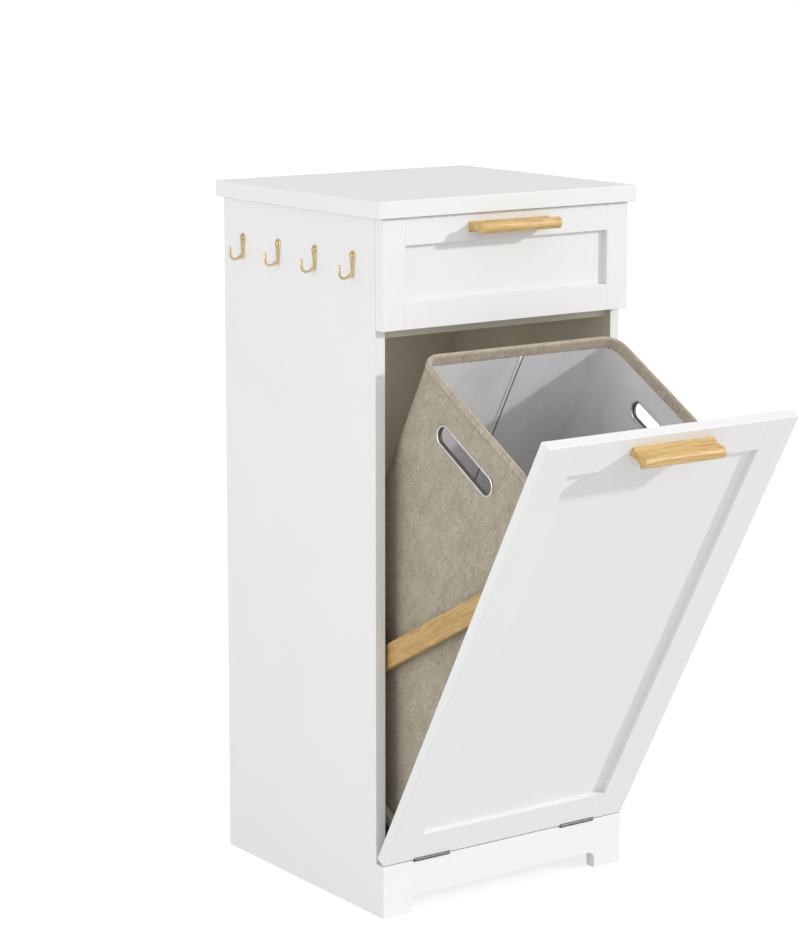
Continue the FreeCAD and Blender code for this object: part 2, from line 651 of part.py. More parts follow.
def make_stops():
    """Pins in the side panels, with soft sleeves, that the braces rest under when the door is open."""
    y, z = stop_centre()
    pins, sleeves = new_body("door_stop_pins"), new_body("door_stop_sleeves")
    for _, side in SIDES:
        pin = span(side, INNER + " - stop_reach", INNER + " + stop_pin_depth")
        rod(pins, "x", (pin[0], y, z), "stop_reach + stop_pin_depth", "stop_pin_radius")
        start = (span(side, INNER + " - stop_reach", INNER + " - stop_gap")[0], y, z)
        rod(sleeves, "x", start, "stop_reach - stop_gap", "stop_sleeve_radius")
        rod(sleeves, "x", start, "stop_reach - stop_gap", "stop_pin_radius + running_gap", cut=True)


def make_catch():
    """A magnetic catch behind the right side panel's front edge, and its strike on the door."""
    body = new_body("magnetic_catch")
    reach = BEHIND_FRONTS + " + catch_gap"
    block(body, span(1, INNER + " - catch_width", INNER), (reach, reach + " + catch_depth"),
          ("catch_foot", "catch_foot + catch_height"))
    body = new_body("strike_plate", "door")
    foot = "catch_foot - hinge_height"
    block(body, span(1, INNER + " - strike_width", INNER + " - front_gap"),
          ("front_board", "front_board + strike_thick - front_gap / 2"), (foot, foot + " + catch_height"))


def make_bumpers():
    """Soft discs on the door that meet the side panels' front edges when it is shut."""
    body = new_body("door_bumpers", "door")
    for _, side in SIDES:
        start = ("%d * (cab_width / 2 - bumper_inset)" % side, "front_board", "door_top - 3 * bumper_inset")
        rod(body, "y", start, "bumper_thick", "bumper_radius")


# ---------------------------------------------------------------- hamper


def plan_outline(sketch, layers):
    """A rounded rectangle seen down the door frame's z axis, inset from the hamper's outside by layers."""
    inset = sum(size(name) for name in layers)
    half, bend = size("hamper_half") - inset, size("hamper_corner") - inset
    front, back = size("hamper_front") + inset, size("hamper_back") - inset
    corners = [(half, front, -1, 1), (half, back, -1, -1), (-half, back, 1, -1), (-half, front, 1, 1)]
    short = 1 - math.sqrt(0.5)
    arcs = []
    for number, (x, y, dx, dy) in enumerate(corners):
        along_x, along_y = (x + bend * dx, y), (x, y + bend * dy)
        middle = (x + bend * short * dx, y + bend * short * dy)
        arcs.append([along_x, middle, along_y] if number % 2 == 0 else [along_y, middle, along_x])
    pieces = []
    for number, arc in enumerate(arcs):
        pieces += [arc, [arc[2], arcs[(number + 1) % 4][0]]]
    curved_outline(sketch, pieces)


def tub(body, layers, low, high):
    """A round-cornered block as wide as the hamper less these layers."""
    sketch = plane_sketch(body, "XY_Plane", offset=low)
    plan_outline(sketch, layers)
    pad(body, sketch, "(%s) - (%s)" % (high, low))


def hollow(body, layers, low, high, core=None):
    """Cut that block out of the body, upwards from low; a core's layers say what stays inside it."""
    sketch = plane_sketch(body, "XY_Plane", offset=low)
    plan_outline(sketch, layers)
    if core:
        plan_outline(sketch, core)
    before = body.Shape.Volume
    pocket = body.newObject("PartDesign::Pocket", "Pocket")
    pocket.Profile = sketch
    pocket.Reversed = True
    bind(pocket, Length="(%s) - (%s)" % (high, low))
    doc.recompute()
    if body.Shape.Volume >= before - 1:
        raise RuntimeError("a pocket cut nothing from " + body.Label)


def make_hamper():
    wall, lined, inside = ("binding",), ("binding", "hamper_wall"), ("binding", "hamper_wall", "lining")
    rim = "hamper_top - binding"
    wall_floor = TRAY_TOP + " + hamper_wall"
    lined_floor = wall_floor + " + lining"
    hole = "grip_height / 2 - grip_rim + grip_sleeve"
    body = new_body("hamper_body", "door")
    tub(body, wall, TRAY_TOP, rim)
    hollow(body, lined, wall_floor, rim)
    slot_block(body, ("-hamper_half", "hamper_half"), hole, cut=True)
    body = new_body("hamper_lining", "door")
    tub(body, lined, wall_floor, rim)
    hollow(body, inside, lined_floor, rim)
    slot_block(body, ("-hamper_half", "hamper_half"), hole, cut=True)
    body = new_body("hamper_rim_binding", "door")
    low = "hamper_top - binding_depth"
    tub(body, (), low, "hamper_top")
    hollow(body, inside + ("binding",), low, "hamper_top")
    hollow(body, wall, low, rim, core=inside)
    body = new_body("hamper_base_board", "door")
    tub(body, inside + ("base_board_gap",), lined_floor, lined_floor + " + base_board")
    for name, side in SIDES:
        make_grip_ring(name, side)


def make_grip_ring(name, side):
    """The eyelet round one grip slot: a flange on each face of the wall, joined by a sleeve through it."""
    body = new_body("hamper_%s_grip_ring" % name, "door")
    skin = "hamper_half - binding - hamper_wall - lining"
    flange = span(side, "hamper_half - binding", "hamper_half - binding + grip_flange")
    slot_block(body, flange, "grip_height / 2")
    slot_block(body, span(side, skin, "hamper_half - binding"), "grip_height / 2 - grip_rim + grip_sleeve")
    slot_block(body, span(side, skin + " - grip_flange", skin), "grip_height / 2")
    slot_block(body, span(side, skin + " - 2 * grip_flange", "hamper_half + grip_flange"),
               "grip_height / 2 - grip_rim", cut=True)


# ---------------------------------------------------------------- drawer box and runners


def make_drawer_box():
    half = INNER + " - runner_thick"
    inner = half + " - drawer_side"
    front = "-cab_depth + front_board"
    rear = front + " + drawer_box_depth"
    z = ("drawer_box_foot", "drawer_box_foot + drawer_box_height")
    low = "drawer_box_foot + drawer_bottom_lift"
    bottom_z = (low, low + " + drawer_bottom")
    bottom_x = ("-(%s) - drawer_bottom_grip" % inner, inner + " + drawer_bottom_grip")
    bottom_y = (front + " + drawer_side - drawer_bottom_grip", rear)
    for name, side in SIDES:
        body = new_body("drawer_%s_side" % name)
        block(body, span(side, inner, half), (front, rear), z)
        block(body, bottom_x, bottom_y, bottom_z, cut=True)
    body = new_body("drawer_box_front")
    block(body, ("-(%s)" % inner, inner), (front, front + " + drawer_side"), z)
    block(body, bottom_x, bottom_y, bottom_z, cut=True)
    body = new_body("drawer_back")
    block(body, ("-(%s)" % inner, inner), (rear + " - drawer_side", rear), (bottom_z[1], z[1]))
    body = new_body("drawer_bottom")
    block(body, bottom_x, bottom_y, bottom_z)


def add_channel(body, side, web, flange, half_height):
    """A runner member: a web with a flange along each edge. web and flange are ranges from the side panel."""
    y = ("-cab_depth + runner_start", "-cab_depth + runner_start + runner_length")
    low, high = "runner_centre - " + half_height, "runner_centre + " + half_height
    ranges = [span(side, "%s - (%s)" % (INNER, end), "%s - (%s)" % (INNER, start))
              for start, end in (web, flange)]
    block(body, ranges[0], y, (low, high))
    block(body, ranges[1], y, (low, low + " + runner_metal"))
    block(body, ranges[1], y, (high + " - runner_metal", high))


def make_runners():
    """Three nested channels at each side: on the cabinet, between, and on the drawer."""
    on_cabinet = new_body("runner_cabinet_members")
    on_drawer = new_body("runner_drawer_members")
    for name, side in SIDES:
        add_channel(on_cabinet, side, ("0", "runner_metal"), ("0", "runner_flange"), "runner_half_height")
        add_channel(on_drawer, side, ("runner_thick - runner_metal", "runner_thick"),
                    ("inner_reach", "runner_thick"), "inner_half_height")
        between = new_body("runner_%s_middle_member" % name)
        web = ("middle_web", "middle_web + runner_metal")
        add_channel(between, side, web, ("middle_web", "middle_reach"), "middle_half_height")


# ---------------------------------------------------------------- coat hooks


def hook_rows():
    return ["-cab_depth + hook_first + %d * hook_spacing" % i for i in range(4)]


def make_hook(number, y):
    """A strap-backed hook on the left side panel: a tapered plate, and a wire bent into a J."""
    body = new_body("coat_hook_%d" % number)
    face = -size("cab_width") / 2
    middle = -size("cab_depth") + size("hook_first") + (number - 1) * size("hook_spacing")
    head, foot_half = size("hook_head_radius"), size("hook_foot_half")
    top, foot = size("hook_top"), size("hook_foot")
    centre = top - head
    sketch = plane_sketch(body, "YZ_Plane", offset="-cab_width / 2 - hook_plate")
    curved_outline(sketch, [[(middle + head, centre), (middle, top), (middle - head, centre)],
                            [(middle - head, centre), (middle - foot_half, foot + foot_half)],
                            [(middle - foot_half, foot + foot_half), (middle, foot),
                             (middle + foot_half, foot + foot_half)],
                            [(middle + foot_half, foot + foot_half), (middle + head, centre)]])
    pad(body, sketch, "hook_plate")
    start = ("-cab_width / 2 - hook_plate", y, "hook_screw_level")
    rod(body, "x", start, "hook_plate", "hook_screw_radius + fit_gap", cut=True)
    root = vector(face - size("hook_plate") / 2, middle, foot + size("hook_root_rise"))
    wire = make_hook_wire(root, face - size("hook_reach"))
    fused = doc.addObject("Part::Feature", "hook_wire_%d" % number)
    fused.Shape = wire
    subparts.remove(body)
    body.Label = "hook_plate_%d" % number
    hook = doc.addObject("Part::Fuse", "coat_hook_%d_fuse" % number)
    hook.Base, hook.Tool = body, fused
    hook.Label = "coat_hook_%d" % number
    doc.recompute()
    subparts.append(hook)


def make_hook_wire(root, tip_x):
    """A round wire from the plate's foot, down and out, round a bend and up to a rounded tip."""
    radius, tip_z = size("hook_wire"), size("hook_tip") - size("hook_wire")
    bend = (root.x - tip_x) * 0.44
    low = size("hook_foot") + radius
    out = vector(tip_x, root.y, low + bend)
    bottom = vector(tip_x + bend, root.y, low)
    corner = vector(tip_x + bend * (1 - math.sqrt(0.5)), root.y, low + bend * (1 - math.sqrt(0.5)))
    tip = vector(tip_x, root.y, tip_z)
    rise = root - bottom
    lift = vector(bottom.x + rise.x * 0.55, root.y, bottom.z + rise.z * 0.28)
    path = Part.Wire([Part.Arc(root, lift, bottom).toShape(), Part.Arc(bottom, corner, out).toShape(),
                      Part.LineSegment(out, tip).toShape()])
    first = path.Edges[0]
    start_dir = first.tangentAt(first.FirstParameter)
    ring = Part.Wire([Part.Circle(root, start_dir, radius).toShape()])
    swept = path.makePipeShell([ring], True, True, 2)
    return swept.fuse(Part.makeSphere(radius * 1.12, tip)).removeSplitter()


def make_hooks():
    for number, y in enumerate(hook_rows(), 1):
        make_hook(number, y)
    body = new_body("coat_hook_screws")
    for y in hook_rows():
        rod(body, "x", ("-cab_width / 2 - hook_plate", y, "hook_screw_level"),
            "hook_plate + hook_screw_length - fit_gap", "hook_screw_radius")
        rod(body, "x", ("-cab_width / 2 - hook_plate - hook_screw_dome", y, "hook_screw_level"),
            "hook_screw_dome", "hook_screw_head")
    rim = -size("cab_width") / 2 - size("hook_plate") - size("hook_screw_dome")
    base = body.Tip
    names = ["Edge%d" % i for i, edge in enumerate(base.Shape.Edges, 1)
             if edge.Curve.TypeId == "Part::GeomCircle" and near(edge.Curve.Center.x, rim)]
    fillet = body.newObject("PartDesign::Fillet", "Fillet")
    fillet.Base = (base, names)
    bind(fillet, Radius="hook_screw_dome * 0.85")
    doc.recompute()


# ---------------------------------------------------------------- hidden carcass fasteners


def make_carcass_fasteners():
    fittings = new_body("cam_fittings")
    for side, y, under in cam_places():
        centre = "%d * (%s - cam_setback)" % (side, INNER)
        rod(fittings, "z", (centre, y, under), "cam_depth - fit_gap", "cam_radius")
        bolt = span(side, INNER + " - cam_setback + cam_radius + fit_gap", INNER + " + cam_bolt_bite")
        length = "cam_setback - cam_radius - fit_gap + cam_bolt_bite"
        rod(fittings, "x", (bolt[0], y, under + " + board / 2"), length, "cam_bolt_radius")
    dowels = new_body("top_dowels")
    for _, side in SIDES:
        for y in dowel_rows():
            start = ("%d * (%s)" % (side, INNER + " + board / 2"), y, TOP_UNDER + " - dowel_bite")
            rod(dowels, "z", start, "dowel_length", "dowel_radius")


def export():
    """Check every object, then write each sub-part to its own file."""
    doc.recompute()
    failed = [item.Label for item in doc.Objects if {"Invalid", "Error"} & set(item.State)]
    bad = [part.Label for part in subparts if part.Shape.isNull() or not part.Shape.isValid()]
    if failed or bad:
        raise RuntimeError("failed objects: %s; bad shapes: %s" % (failed, bad))
    os.makedirs("parts", exist_ok=True)
    for part in subparts:
        part.Shape.exportStep("parts/%s.step" % part.Label)
    print("%d sub-parts written" % len(subparts))


fill_sheet()
make_carcass_boards()
make_front_plinth()
make_door_front()
make_drawer_front()
make_hinges()
make_tray()
for brace_name, brace_side in SIDES:
    make_brace(brace_name, brace_side)
make_brace_screws()
make_brace_cleats()
make_stops()
make_catch()
make_bumpers()
make_hamper()
make_drawer_box()
make_runners()
make_hooks()
make_carcass_fasteners()
export()
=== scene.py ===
import json
import math

import bmesh
import bpy
import numpy as np
from mathutils import Matrix, Vector


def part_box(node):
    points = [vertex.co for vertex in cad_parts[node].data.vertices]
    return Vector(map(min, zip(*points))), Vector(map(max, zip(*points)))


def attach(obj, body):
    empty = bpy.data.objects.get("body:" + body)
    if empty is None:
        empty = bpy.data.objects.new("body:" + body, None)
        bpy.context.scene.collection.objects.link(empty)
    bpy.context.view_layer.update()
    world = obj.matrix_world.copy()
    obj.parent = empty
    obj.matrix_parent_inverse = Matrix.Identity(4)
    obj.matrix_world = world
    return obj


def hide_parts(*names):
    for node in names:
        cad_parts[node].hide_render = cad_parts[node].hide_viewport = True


# A tilt-out laundry hamper cabinet: painted boards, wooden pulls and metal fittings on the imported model,
# and a fabric hamper and cast brass hooks built here in place of its plainer ones. Metres, in the packed
# model's frame: +X right, +Y to the wall, +Z up.

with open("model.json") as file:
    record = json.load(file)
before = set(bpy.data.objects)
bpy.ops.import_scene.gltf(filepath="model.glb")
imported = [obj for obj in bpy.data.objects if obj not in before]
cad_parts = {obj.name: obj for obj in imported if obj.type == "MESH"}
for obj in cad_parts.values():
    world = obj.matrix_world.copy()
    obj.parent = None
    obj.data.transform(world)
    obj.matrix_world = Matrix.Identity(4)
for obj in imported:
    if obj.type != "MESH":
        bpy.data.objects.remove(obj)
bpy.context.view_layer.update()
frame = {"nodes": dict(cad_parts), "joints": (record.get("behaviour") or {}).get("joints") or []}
MM = 0.001


# ---------------------------------------------------------------- frames of reference

def door_frame():
    """The matrix from the door's own axes (x right, y inwards, z up the door) to the model's frame."""
    joint = next(j for j in frame["joints"] if j["name"] == "door_tilt")
    tilt = -math.radians(joint["range_deg"][0])
    return Matrix.Translation(joint["pos_m"]) @ Matrix.Rotation(tilt, 4, Vector(joint["axis"]))


DOOR = door_frame()


def local_box(node, to_world):
    """Lowest and highest corners of a CAD node along the axes of another frame."""
    back = to_world.inverted()
    points = np.array([back @ v.co for v in frame["nodes"][node].data.vertices])
    return points.min(axis=0), points.max(axis=0)


# ---------------------------------------------------------------- materials

class Graph:
    """A node material: add() makes a node, and inputs take a number, a colour or another node's output."""

    def __init__(self, name):
        self.material = bpy.data.materials.new(name)
        self.material.use_nodes = True
        self.nodes = self.material.node_tree.nodes
        self.links = self.material.node_tree.links
        self.nodes.clear()
        self.shader = self.add("BsdfPrincipled")
        output = self.add("OutputMaterial")
        self.links.new(self.shader.outputs["BSDF"], output.inputs["Surface"])

    def add(self, kind, inputs=None, **settings):
        node = self.nodes.new("ShaderNode" + kind)
        for name, value in settings.items():
            setattr(node, name, value)
        for name, value in (inputs or {}).items():
            self.put(node, name, value)
        return node

    def put(self, node, name, value):
        if isinstance(value, bpy.types.NodeSocket):
            self.links.new(value, node.inputs[name])
        else:
            node.inputs[name].default_value = value

    def set(self, **inputs):
        """Inputs of the surface shader, with an underscore for each space."""
        for name, value in inputs.items():
            self.put(self.shader, name.replace("_", " "), value)

    def math(self, operation, a, b=0.0):
        return self.add("Math", {0: a, 1: b}, operation=operation).outputs[0]

    def point(self, turn=0.0, scale=(1, 1, 1)):
        """The surface point in the piece's own axes, turned about x and stretched."""
        where = self.add("TexCoord").outputs["Object"]
        turned = self.add("Mapping", {"Vector": where, "Rotation": (turn, 0, 0)}, vector_type="TEXTURE")
        return self.add("VectorMath", {0: turned.outputs[0], 1: scale}, operation="MULTIPLY").outputs[0]

    def place(self):
        """The surface point's coordinates in the piece's own axes, by the names X, Y and Z."""
        return self.add("SeparateXYZ", {"Vector": self.point()}).outputs

    def noise(self, point, scale=1.0, detail=2.0, rough=0.5, warp=0.0):
        inputs = {"Vector": point, "Scale": scale, "Detail": detail, "Roughness": rough, "Distortion": warp}
        return self.add("TexNoise", inputs).outputs["Fac"]

    def checks(self, pitch):
        """A grid from -1 to 1: a wave round the walls times a wave up them, both of one pitch."""
        place = self.place()
        turns = 2 * math.pi / pitch
        around = self.math("SINE", self.math("MULTIPLY", self.math("ADD", place["X"], place["Y"]), turns))
        up = self.math("SINE", self.math("MULTIPLY", place["Z"], turns))
        return self.math("MULTIPLY", around, up)

    def ramp(self, value, *stops):
        """A colour ramp from (position, colour) stops."""
        node = self.add("ValToRGB", {"Fac": value})
        elements = node.color_ramp.elements
        while len(elements) < len(stops):
            elements.new(0.5)
        for element, (position, colour) in zip(elements, stops):
            element.position = position
            element.color = (*colour, 1)
        return node.outputs["Color"]

    def between(self, value, low, high, to_low=0.0, to_high=1.0):
        """value carried from one range to another, and held at its ends."""
        inputs = {"Value": value, "From Min": low, "From Max": high, "To Min": to_low, "To Max": to_high}
        return self.add("MapRange", inputs).outputs["Result"]

    def mix(self, factor, a, b):
        """One colour to another by a factor. The Mix node's colour sockets are told apart only by number."""
        factor_in, a_in, b_in, colour_out = 0, 6, 7, 2
        node = self.add("Mix", data_type="RGBA")
        for index, value in ((factor_in, factor), (a_in, a), (b_in, b)):
            if isinstance(value, tuple):
                value = (*value, 1)
            self.put(node, index, value)
        return node.outputs[colour_out]

    def bump(self, height, depth, strength=1.0, below=None):
        """The normal for a height from 0 to 1 over a real depth in metres, on top of a coarser normal."""
        inputs = {"Height": height, "Distance": depth, "Strength": strength}
        if below is not None:
            inputs["Normal"] = below
        return self.add("Bump", inputs).outputs["Normal"]


def shaded(colour, factor):
    return tuple(channel * factor for channel in colour)


def stretched(along, lengthwise, crosswise):
    """Noise scales in x, y and z for a grain that runs along one axis."""
    return tuple(lengthwise if axis == along else crosswise for axis in "xyz")


def paint(name, colour, inside=None, wall=None):
    """Satin paint with a faint orange peel, in the inside colour where x is nearer the middle than wall."""
    g = Graph(name)
    point = g.point()
    cloud = g.noise(point, scale=7.0, detail=3.0)
    shade = g.ramp(cloud, (0.35, shaded(colour, 0.99)), (0.65, shaded(colour, 1.005)))
    peel = g.noise(point, scale=420.0)
    gloss = g.noise(point, scale=60.0)
    if inside:
        across = g.math("ABSOLUTE", g.place()["X"])
        shade = g.mix(g.math("LESS_THAN", across, wall), shade, inside)
    g.set(Base_Color=shade, Roughness=g.between(gloss, 0.3, 0.7, to_low=0.34, to_high=0.44),
          Specular_IOR_Level=0.45, Normal=g.bump(peel, 0.06 * MM))
    return g.material


def board(name, colour):
    """Matt melamine with a very fine linear print."""
    g = Graph(name)
    print_lines = g.noise(g.point(scale=stretched("x", 30, 900)), detail=4.0)
    g.set(Base_Color=g.ramp(print_lines, (0.35, shaded(colour, 0.9)), (0.6, colour)), Roughness=0.6,
          Normal=g.bump(print_lines, 0.05 * MM))
    return g.material


def wood(name, light, middle, dark, along="x", turn=0.0):
    """Oiled wood whose grain runs along one axis of the piece, with pores and slow figure."""
    g = Graph(name)
    rings = g.noise(g.point(turn, stretched(along, 9, 120)), detail=3.0, rough=0.6, warp=0.8)
    bands = g.math("PINGPONG", g.math("FRACT", g.math("MULTIPLY", rings, 4.5)), 0.5)
    fibres = g.noise(g.point(turn, stretched(along, 40, 1500)), detail=3.0, rough=0.7)
    figure = g.math("ADD", g.math("MULTIPLY", bands, 1.1), g.math("MULTIPLY", fibres, 0.45))
    colour = g.ramp(figure, (0.22, light), (0.55, middle), (0.95, dark))
    g.set(Base_Color=colour, Roughness=g.between(fibres, 0.3, 0.7, to_low=0.36, to_high=0.52),
          Normal=g.bump(fibres, 0.1 * MM, 0.7), Coat_Weight=0.15, Coat_Roughness=0.3)
    return g.material


def metal(name, colour, rough, brushed=None, worn=0.82):
    """Plated metal with faint wear, or brushed along an axis. Its darkest patches are worn times colour."""
    g = Graph(name)
    marks = g.noise(g.point(scale=brushed or (1, 1, 1)), scale=1.0 if brushed else 260.0, detail=3.0)
    cloud = g.noise(g.point(), scale=90.0)
    g.set(Base_Color=g.ramp(cloud, (0.3, shaded(colour, worn)), (0.65, colour)), Metallic=1.0,
          Roughness=g.between(marks, 0.3, 0.7, to_low=rough * 0.8, to_high=rough * 1.3),
          Normal=g.bump(marks, 0.02 * MM))
    return g.material


def plastic(name, colour, rough):
    """Moulded plastic, rubber or thread: one colour with a fine grain."""
    g = Graph(name)
    grain = g.noise(g.point(), scale=900.0)
    g.set(Base_Color=g.ramp(grain, (0.3, shaded(colour, 0.92)), (0.7, colour)), Roughness=rough,
          Normal=g.bump(grain, 0.04 * MM))
    return g.material


def linen(name, light, dark):
    """Heathered cloth: short pale and dark slubs scattered over slow mottling, and the weave as bump."""
    thread = 0.8 * MM
    g = Graph(name)
    slow = g.noise(g.point(scale=stretched("z", 26, 42)), detail=6.0, rough=0.62, warp=0.4)
    slubs = g.noise(g.point(scale=stretched("z", 120, 250)), detail=3.0, rough=0.62, warp=2.2)
    specks = g.noise(g.point(scale=stretched("z", 420, 900)), detail=3.0, rough=0.7)
    patches = g.noise(g.point(scale=stretched("z", 75, 115)), detail=3.0, rough=0.6, warp=1.2)
    layers = g.math("ADD", g.math("MULTIPLY", slow, 0.4), g.math("MULTIPLY", patches, 0.35))
    layers = g.math("ADD", layers, g.math("MULTIPLY", specks, 0.25))
    ground = g.ramp(layers, (0.41, dark), (0.59, light))
    pale = tuple(min(channel, 0.8) for channel in shaded(light, 1.42))
    colour = g.mix(g.between(slubs, 0.55, 0.70, to_low=0.0, to_high=0.75), ground, pale)
    colour = g.mix(g.between(slubs, 0.30, 0.42, to_low=0.7, to_high=0.0), colour, shaded(dark, 0.62))
    height = g.math("ADD", g.math("MULTIPLY", g.checks(thread), 0.3), slubs)
    g.set(Base_Color=colour, Roughness=0.9, Specular_IOR_Level=0.2,
          Sheen_Weight=0.2, Sheen_Roughness=0.5, Normal=g.bump(height, 0.3 * MM, 0.8))
    return g.material


def lining(name, colour):
    """Smooth non-woven cloth with an embossed dot pattern, and soft creases whose hollows are darkened as
    painted shade.
    """
    dot_pitch = 2.4 * MM
    g = Graph(name)
    dots = g.between(g.checks(dot_pitch), 0.35, 0.8)
    creases_and_painted_shade = g.noise(g.point(scale=stretched("z", 9, 16)), detail=3.0, warp=0.5)
    folds = g.bump(creases_and_painted_shade, 2 * MM, 0.5)
    # The colour follows the creases: painted shade, darker where the folds sink.
    g.set(Base_Color=g.ramp(creases_and_painted_shade, (0.35, shaded(colour, 0.9)), (0.6, colour)), Roughness=0.75,
          Specular_IOR_Level=0.3, Sheen_Weight=0.15, Normal=g.bump(dots, -0.1 * MM, 0.6, below=folds))
    return g.material


WHITE = (0.82, 0.82, 0.815)
GREIGE = (0.70, 0.655, 0.55)
PINE = ((0.70, 0.49, 0.20), (0.60, 0.385, 0.135), (0.42, 0.235, 0.07))
PINE_DEEP = ((0.56, 0.375, 0.15), (0.50, 0.31, 0.105), (0.38, 0.21, 0.06))


def lean(node):
    """The angle above level, seen along x, of a CAD node's long direction."""
    points = np.array([v.co[1:] for v in frame["nodes"][node].data.vertices])
    along = np.linalg.svd(points - points.mean(axis=0), full_matrices=False)[2][0]
    return math.atan2(along[1], along[0]) if along[0] > 0 else math.atan2(-along[1], -along[0])


def make_materials():
    """Every material by a short name. The side panels are greige inside the cabinet and white outside."""
    just_past = 0.2 * MM
    inner_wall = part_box("bottom_panel")[1].x + just_past
    return {
        "white": paint("white_paint", WHITE),
        "side": paint("white_paint_greige_inside", WHITE, GREIGE, inner_wall),
        "greige": board("greige_board", GREIGE),
        "handle": wood("golden_wood", *PINE),
        "brace": wood("golden_wood_brace", *PINE_DEEP, along="y", turn=lean("left_brace")),
        "dowel": wood("bare_wood", (0.78, 0.62, 0.42), (0.68, 0.52, 0.33), (0.55, 0.4, 0.24)),
        "brass": metal("brass", (0.78, 0.62, 0.34), 0.17),
        "steel": metal("nickel_steel", (0.42, 0.41, 0.40), 0.35, stretched("x", 20, 900)),
        "zinc": metal("zinc_steel", (0.62, 0.63, 0.65), 0.32, stretched("y", 15, 900), worn=0.95),
        "hinge": metal("dark_hinge_steel", (0.20, 0.19, 0.18), 0.45, stretched("x", 20, 900)),
        "ring": metal("ring_metal", (0.84, 0.82, 0.79), 0.22),
        # Dark for the grip sleeves and for the loops round the eyelets, which are painted shade.
        "sleeve": plastic("dark_sleeve_and_painted_shade", (0.075, 0.058, 0.048), 0.45),
        "rubber": plastic("dark_rubber", (0.035, 0.035, 0.035), 0.7),
        "plastic": plastic("white_plastic", (0.75, 0.75, 0.74), 0.45),
        "linen": linen("linen_fabric", (0.46, 0.41, 0.32), (0.35, 0.305, 0.235)),
        # The binding is the shell's linen made lighter: a lit copy of it, painted highlight on the rim.
        "binding": linen("binding_fabric", (0.53, 0.46, 0.365), (0.41, 0.35, 0.27)),
        "lining": lining("lining_fabric", (0.74, 0.73, 0.735)),
        "thread": plastic("thread", (0.16, 0.135, 0.10), 0.8),
    }


MATERIALS = make_materials()

GREIGE_NODES = ("back_panel", "bottom_panel", "divider_shelf", "rear_stretcher", "tray_board", "brace_cleats",
                "drawer_bottom", "drawer_back", "drawer_box_front", "drawer_left_side", "drawer_right_side")
OTHER_NODES = {"cam_fittings": "zinc", "coat_hook_screws": "brass", "door_stop_pins": "steel",
               "strike_plate": "steel", "door_handle": "handle", "drawer_handle": "handle",
               "left_brace": "brace", "right_brace": "brace", "door_stop_sleeves": "rubber",
               "door_bumpers": "rubber", "magnetic_catch": "plastic", "top_dowels": "dowel"}


def material_of(node):
    """The material of a CAD node that stays as it is."""
    if node in OTHER_NODES:
        return OTHER_NODES[node]
    if node in GREIGE_NODES:
        return "greige"
    if node.endswith("side_panel"):
        return "side"
    if node.startswith("runner"):
        return "zinc"
    if node.startswith("hinge"):
        return "hinge"
    return "steel" if node.endswith("screws") else "white"


def dress(node):
    thing = frame["nodes"][node]
    thing.data.materials.clear()
    thing.data.materials.append(MATERIALS[material_of(node)])


# ---------------------------------------------------------------- mesh helpers

def add_mesh(name, points, faces, material):
    mesh = bpy.data.meshes.new(name)
    mesh.from_pydata([tuple(point) for point in points], [], faces)
    mesh.materials.append(MATERIALS[material])
    mesh.polygons.foreach_set("use_smooth", [True] * len(mesh.polygons))
    mesh.update()
    thing = bpy.data.objects.new(name, mesh)
    bpy.context.scene.collection.objects.link(thing)
    return thing


def face_outwards(thing):
    work = bmesh.new()
    work.from_mesh(thing.data)
    bmesh.ops.recalc_face_normals(work, faces=work.faces)
    work.to_mesh(thing.data)
    work.free()


def loft(name, rings, material, closed=False):
    """A mesh through rings of equal point counts: capped at both ends, or closed back on itself."""
    count = len(rings[0])
    faces = []
    for i in range(len(rings) if closed else len(rings) - 1):
        a, b = i * count, (i + 1) % len(rings) * count
        faces += [(a + j, a + (j + 1) % count, b + (j + 1) % count, b + j) for j in range(count)]
    if not closed:
        faces.append(tuple(reversed(range(count))))
        faces.append(tuple(range((len(rings) - 1) * count, len(rings) * count)))
    thing = add_mesh(name, [point for ring in rings for point in ring], faces, material)
    face_outwards(thing)
    return thing


def cut(thing, cutter):
    """Cut one closed mesh out of another for good, and throw the cutter away."""
    modifier = thing.modifiers.new("cut", "BOOLEAN")
    modifier.operation, modifier.object, modifier.solver = "DIFFERENCE", cutter, "EXACT"
    bpy.context.view_layer.update()
    depsgraph = bpy.context.evaluated_depsgraph_get()
    result = bpy.data.meshes.new_from_object(thing.evaluated_get(depsgraph))
    thing.modifiers.clear()
    thing.data = result
    bpy.data.objects.remove(cutter)


# ---------------------------------------------------------------- the hamper

def onto_hamper(thing, slot, *nodes):
    """Place a mesh made in the door's axes, and let it ride on the hamper in place of some CAD nodes."""
    thing.matrix_world = DOOR
    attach(thing, "hamper")
    if nodes:
        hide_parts(*nodes)


